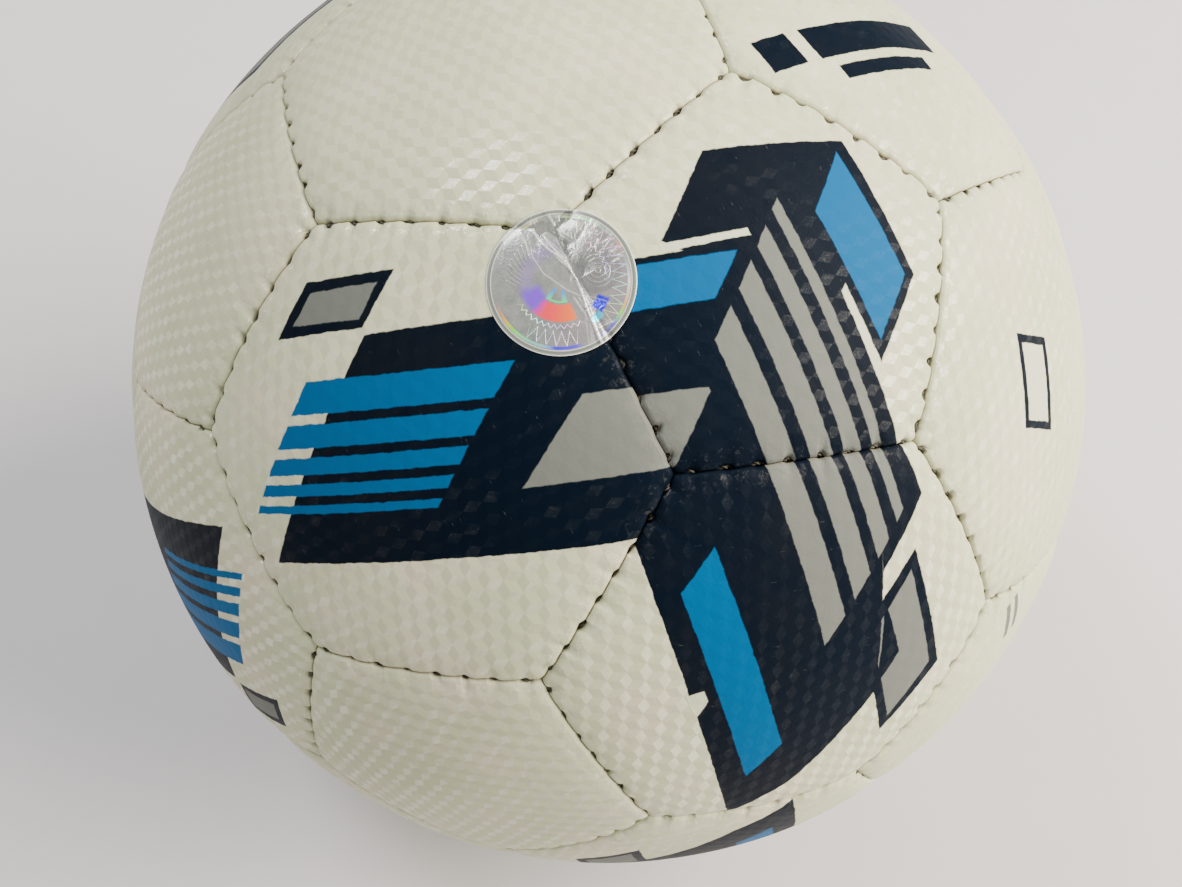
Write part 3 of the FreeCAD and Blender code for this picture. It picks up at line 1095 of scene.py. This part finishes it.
def label_material():
    """Holographic film: silver, with diffraction colours, zigzag guilloche rings and a clear rim."""
    g = Film()
    base = film_glints(g, film_ground(g))
    teeth = film_teeth(g)
    rainbow = g.spectrum(g.plus(g.times(g.turn, 3.0), g.times(g.fine, 0.9)), 0.45)
    base = g.over(base, rainbow, teeth, 0.95)

    rosette = g.lines(g.plus(g.times(g.turn, 60.0), g.times(g.radius, 0.9)))
    rosette = g.times(rosette, g.piece((6.9, 1.0, 0.2), (0.46, 0.07, 0.01)))
    from_medal = g.length(g.vector("SUBTRACT", g.flat, (5.1, 2.2, 0.0)))
    medal = g.times(g.lines(g.times(from_medal, 1.4)), g.between(from_medal, 2.5, 2.3))
    engraved = g.most(rosette, medal)
    base = g.over(base, (84, 92, 88), g.between(from_medal, 3.6, 3.2), 0.35)
    base = g.over(base, (196, 200, 196), engraved, 0.20)

    glow_colour, glow_share = g.ramp(g.plus(g.turn, 0.5), RIM_GLOW)
    base = g.over(base, glow_colour, g.times(g.ring(10.02, 0.17, 0.09), glow_share))
    sparkle = film_streaks(g)
    base = g.over(base, g.spectrum(g.times(g.fine, 2.6), 0.28), sparkle, 0.85)
    # Painted highlight along the label's creases.
    base = g.over(base, (250, 252, 246), g.times(g.crease_highlight, g.between(g.fine, 0.30, 0.52)))

    rim = g.between(g.radius, 10.36, 10.42)
    base = g.over(base, (120, 126, 118), rim)
    # The pale rim lines are painted highlights on the rim's edges.
    for centre, half_width, softness, colour, strength in RIM_LINES:
        base = g.over(base, colour, g.ring(centre, half_width, softness), strength)
    relief = g.plus(g.times(teeth, 0.3), g.times(g.fine, 0.4), g.times(engraved, 0.6), g.times(sparkle, 0.5))
    metal = g.times(g.rest(rim), 0.35)
    return g.surface(Base_Color=base, Metallic=metal, Roughness=0.22, Normal=g.bump(relief, 0.6, 0.15),
                     Coat_Weight=0.5, Coat_Roughness=0.05)


COVER_MATERIALS = {kind: cover_material(kind) for kind in PRINTS}

# ---------------- pieces


def finish_piece(obj, material, node):
    """Gives a piece its material, and puts it on the ball's one body in place of a CAD node."""
    obj.data.materials.append(material)
    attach(obj, "root")
    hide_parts(node)


def add_panels():
    for panel in PANELS:
        finish_piece(build_panel(panel), COVER_MATERIALS[panel.print_kind], panel.name)


def twisted_cord(line, turning):
    """Two strands twisted round a centre line: points, and faces as quads, ends open."""
    along = unit(np.gradient(line, axis=0))
    out = unit(line - along * (line * along).sum(axis=1, keepdims=True))
    across = np.cross(along, out)
    around = np.arange(THREAD_SIDES) * 2 * math.pi / THREAD_SIDES
    row = np.arange(len(line) - 1)[:, None] * THREAD_SIDES
    here = np.arange(THREAD_SIDES)[None, :]
    after = (here + 1) % THREAD_SIDES
    corners = (row + here, row + after, row + after + THREAD_SIDES, row + here + THREAD_SIDES)
    strand_quads = np.stack(corners, axis=2).reshape(-1, 4)
    points, quads = [], []
    for strand in (0, 1):
        where = turning + strand * math.pi
        aside = np.cos(where)[:, None] * out + np.sin(where)[:, None] * across
        middle = line + STRAND_OFFSET * THREAD_RADIUS * aside
        round_it = np.cos(around)[:, None] * out[:, None, :] + np.sin(around)[:, None] * across[:, None, :]
        points.append((middle[:, None, :] + STRAND_RADIUS * THREAD_RADIUS * round_it).reshape(-1, 3))
        quads.append(strand * len(line) * THREAD_SIDES + strand_quads)
    return np.concatenate(points), np.concatenate(quads)


def seam_thread(seam):
    """One seam's thread: it dips under between stitches and rises into each opening."""
    margin, reach, steps = 0.6, 1.25, 10
    places, rises, sides = [margin], [0.0], [0.0]
    for place, half, size in zip(seam.stitches, seam.half_lengths, seam.openings):
        for u in np.linspace(-reach, reach, steps):
            places.append(place + u * half)
            rises.append(max(0.0, 1 - (u / reach) ** 2))
            sides.append(seam.open_side * (0.04 + 0.5 * size * max(0.0, 1 - u * u) + 0.12 * u))
    places.append(seam.length - margin)
    rises.append(0.0)
    sides.append(0.0)
    s = np.array(places)
    depth = THREAD_DEPTH + THREAD_DIP * (1 - np.array(rises))
    angle = s / BALL_RADIUS
    rays = np.cos(angle)[:, None] * seam.start + np.sin(angle)[:, None] * seam.forward
    shift = np.array(sides) + seam.line_shift(s)
    rays = unit(rays + shift[:, None] / BALL_RADIUS * seam.normal)
    line = rays * (BALL_RADIUS - depth)[:, None]
    return twisted_cord(line, s * 2 * math.pi / THREAD_LAY)


def add_thread():
    points, quads, count = [], [], 0
    for seam in SEAMS.values():
        p, q = seam_thread(seam)
        points.append(p)
        quads.append(q + count)
        count += len(p)
    obj = make_mesh("stitches", np.concatenate(points), [np.concatenate(quads)])
    thread = plain_material("waxed_thread", (40, 38, 30), (82, 78, 64), 0.62, 2500.0, 0.12)
    finish_piece(obj, thread, "stitching_thread")


def cover_depth(points):
    """How deep the cover's outside lies at each direction, whichever panel is there."""
    middle = unit(points.mean(axis=0))
    near = sorted(PANELS, key=lambda panel: -(panel.centre @ middle))[:4]
    return np.min([surface_depth(panel, points) for panel in near], axis=0)


def label_folds(flat):
    """The folds' height at each point of the flat label, and how bright the painted highlight on each
    point's crease is.
    """
    rng = np.random.default_rng(31)
    folds = np.zeros(len(flat))
    crease_highlight = np.zeros(len(flat))
    for count, spread, height, brightness, route in LABEL_FOLDS:
        for _ in range(count):
            strand = np.array(route) + rng.normal(0, 0.6 * spread, (len(route), 2))
            sharpness = rng.uniform(0.06, 0.13)
            strength = rng.uniform(0.35, 1.0) * brightness
            for a, b in zip(strand, strand[1:]):
                share = np.clip((flat - a) @ (b - a) / ((b - a) @ (b - a)), 0, 1)
                away = np.linalg.norm(flat - a - share[:, None] * (b - a), axis=1)
                fold = np.exp(-(away / sharpness) ** 2)
                folds += height * fold
                crease_highlight = np.maximum(crease_highlight, fold * strength)
    return folds, crease_highlight


def add_label():
    """A thin round film that follows the panels, half bridges the seams, and creases along them."""
    middle = direction(LABEL_HEADING, LABEL_ELEVATION)
    right = unit(np.cross(np.array([0, 0, 1.0]), middle))
    up = np.cross(middle, right)
    turns = np.arange(LABEL_SPOKES) * 2 * math.pi / LABEL_SPOKES
    radii = (*np.linspace(0.15, LABEL_RADIUS - 0.12, LABEL_RINGS), LABEL_RADIUS)
    circle = columns(np.cos(turns), np.sin(turns))
    flat = np.concatenate([np.zeros((1, 2))] + [r * circle for r in radii])
    rays = unit(middle * BALL_RADIUS + flat[:, :1] * right + flat[:, 1:] * up)
    depth = np.minimum(cover_depth(rays), 2.0)
    draped = 0.55 * depth - 0.05
    folds, crease_highlight = label_folds(flat)
    draped -= 0.4 * folds
    draped = np.minimum(draped, depth - LABEL_LIFT)
    top = rays * (BALL_RADIUS - draped)[:, None]
    bottom = rays[-LABEL_SPOKES:] * (BALL_RADIUS - draped[-LABEL_SPOKES:] - LABEL_THICKNESS)[:, None]
    points = np.concatenate([top, bottom, (middle * (BALL_RADIUS - draped[0] - 0.2))[None, :]])
    i = np.arange(LABEL_SPOKES)
    j = (i + 1) % LABEL_SPOKES
    tris = [columns(np.zeros_like(i), 1 + i, 1 + j)]
    quads = []
    for ring in range(LABEL_RINGS + 1):
        a = 1 + ring * LABEL_SPOKES
        b = a + LABEL_SPOKES
        quads.append(columns(a + i, b + i, b + j, a + j))
    last = len(top)
    tris.append(columns(last + j, last + i, np.full_like(i, len(points) - 1)))
    obj = make_mesh("holographic_label", points, [np.concatenate(tris), np.concatenate(quads)])
    values = np.zeros((len(points), 3))
    values[:len(flat), :2] = flat
    values[:len(flat), 2] = crease_highlight
    values[len(flat):-1, :2] = flat[-LABEL_SPOKES:]
    store_vectors(obj, "label_mm", values)
    finish_piece(obj, label_material(), "hologram_label")


def add_filling():
    """The torn foam wads in the bladder, one towards each pentagon and one in the middle."""
    ball = bmesh.new()
    bmesh.ops.create_icosphere(ball, subdivisions=5, radius=1.0)
    sphere = np.array([v.co[:] for v in ball.verts])
    triangles = np.array([[v.index for v in f.verts] for f in ball.faces])
    ball.free()
    wads = [(np.zeros(3), np.array([0.0, 0.0, 1.0]), CENTRE_WAD_RADIUS, 1.0)]
    wads += [(centre * WAD_ORBIT, centre, WAD_RADIUS, WAD_SQUASH) for centre in PENTAGONS]
    points = []
    faces = []
    for place, axis, radius, squash in wads:
        flattened = sphere - (1.0 - squash) * (sphere @ axis)[:, None] * axis
        whole = place + radius * flattened
        torn = np.abs(TORN.at(whole / BALL_RADIUS)) + np.abs(CRUMBS.at(whole / BALL_RADIUS))
        points.append(whole - torn[:, None] * flattened)
        faces.append(triangles + len(faces) * len(sphere))
    obj = make_mesh("foam_wads", np.concatenate(points), [np.concatenate(faces)])
    crumb = plain_material("crumb_foam", (150, 146, 138), (196, 192, 182), 0.92, 700.0, 0.60)
    finish_piece(obj, crumb, "bladder_filling")


def finish_cad_pieces():
    """The pieces under the cover and the valve keep their CAD shapes, and get their own materials."""
    rubber = plain_material("black_butyl", (20, 20, 21), (34, 34, 35), 0.55, 1400.0, 0.10)
    valve = plain_material("valve_rubber", (66, 67, 68), (92, 93, 93), 0.50, 2200.0, 0.08)
    core = plain_material("valve_core_rubber", (112, 113, 112), (138, 139, 137), 0.48, 2600.0, 0.08)
    foam = plain_material("backing_foam", (226, 222, 208), (240, 237, 226), 0.90, 2600.0, 0.35)
    finishes = {
        "bladder": rubber, "valve_patch": rubber, "valve_body": valve, "valve_core": core,
        "pentagon_foam": foam, "hexagon_foam": foam,
        "pentagon_lining": lining_material(), "hexagon_lining": lining_material(),
    }
    for name, material in finishes.items():
        obj = frame["nodes"][name]
        obj.data.materials.clear()
        obj.data.materials.append(material)


add_panels()
add_thread()
add_label()
add_filling()
finish_cad_pieces()

# ---------------- floor, lights and camera

# The camera: its place in ball radii, its tilt in degrees, and its lens and film in mm
CAMERA_PLACE = (-0.034, -1.704, 2.236)
CAMERA_TILT = 35.0
CAMERA_LENS = 38.16
CAMERA_FILM = 36.0


def add_floor():
    bpy.ops.mesh.primitive_plane_add(size=8.0, location=(0, 0, -BALL_RADIUS * MM))
    floor = bpy.context.object
    floor.name = "studio_floor"
    g = Graph("pale_floor")
    where = g.where()
    colour = g.blend(g.noise(where, 30.0), (206, 203, 206), (211, 208, 210))
    floor.data.materials.append(g.surface(Base_Color=colour, Roughness=0.9))


def add_area_light(name, heading, elevation, distance, size, watts, colour=(1, 1, 1)):
    light = bpy.data.lights.new(name, "AREA")
    light.shape = "DISK"
    light.size = size
    light.energy = watts
    light.color = colour
    obj = bpy.data.objects.new(name, light)
    away = Vector(direction(heading - 90.0, elevation))
    obj.location = away * distance
    obj.rotation_euler = away.to_track_quat("Z", "Y").to_euler()
    bpy.context.scene.collection.objects.link(obj)


def add_world():
    world = bpy.data.worlds.new("studio")
    world.use_nodes = True
    background = world.node_tree.nodes["Background"]
    background.inputs["Color"].default_value = (0.88, 0.88, 0.87, 1)
    background.inputs["Strength"].default_value = 0.46
    bpy.context.scene.world = world


def add_camera():
    camera = bpy.data.cameras.new("camera")
    camera.lens = CAMERA_LENS
    camera.sensor_width = CAMERA_FILM
    obj = bpy.data.objects.new("camera", camera)
    obj.location = Vector(CAMERA_PLACE) * BALL_RADIUS * MM
    obj.rotation_euler = (math.radians(CAMERA_TILT), 0.0, 0.0)
    bpy.context.scene.collection.objects.link(obj)
    bpy.context.scene.camera = obj


add_floor()
add_area_light("window", heading=84.0, elevation=34.0, distance=1.2, size=1.1, watts=56.0,
               colour=(1.0, 0.92, 0.80))
add_area_light("lamp", heading=-122.0, elevation=62.0, distance=1.3, size=0.50, watts=14.5)
add_world()
add_camera()
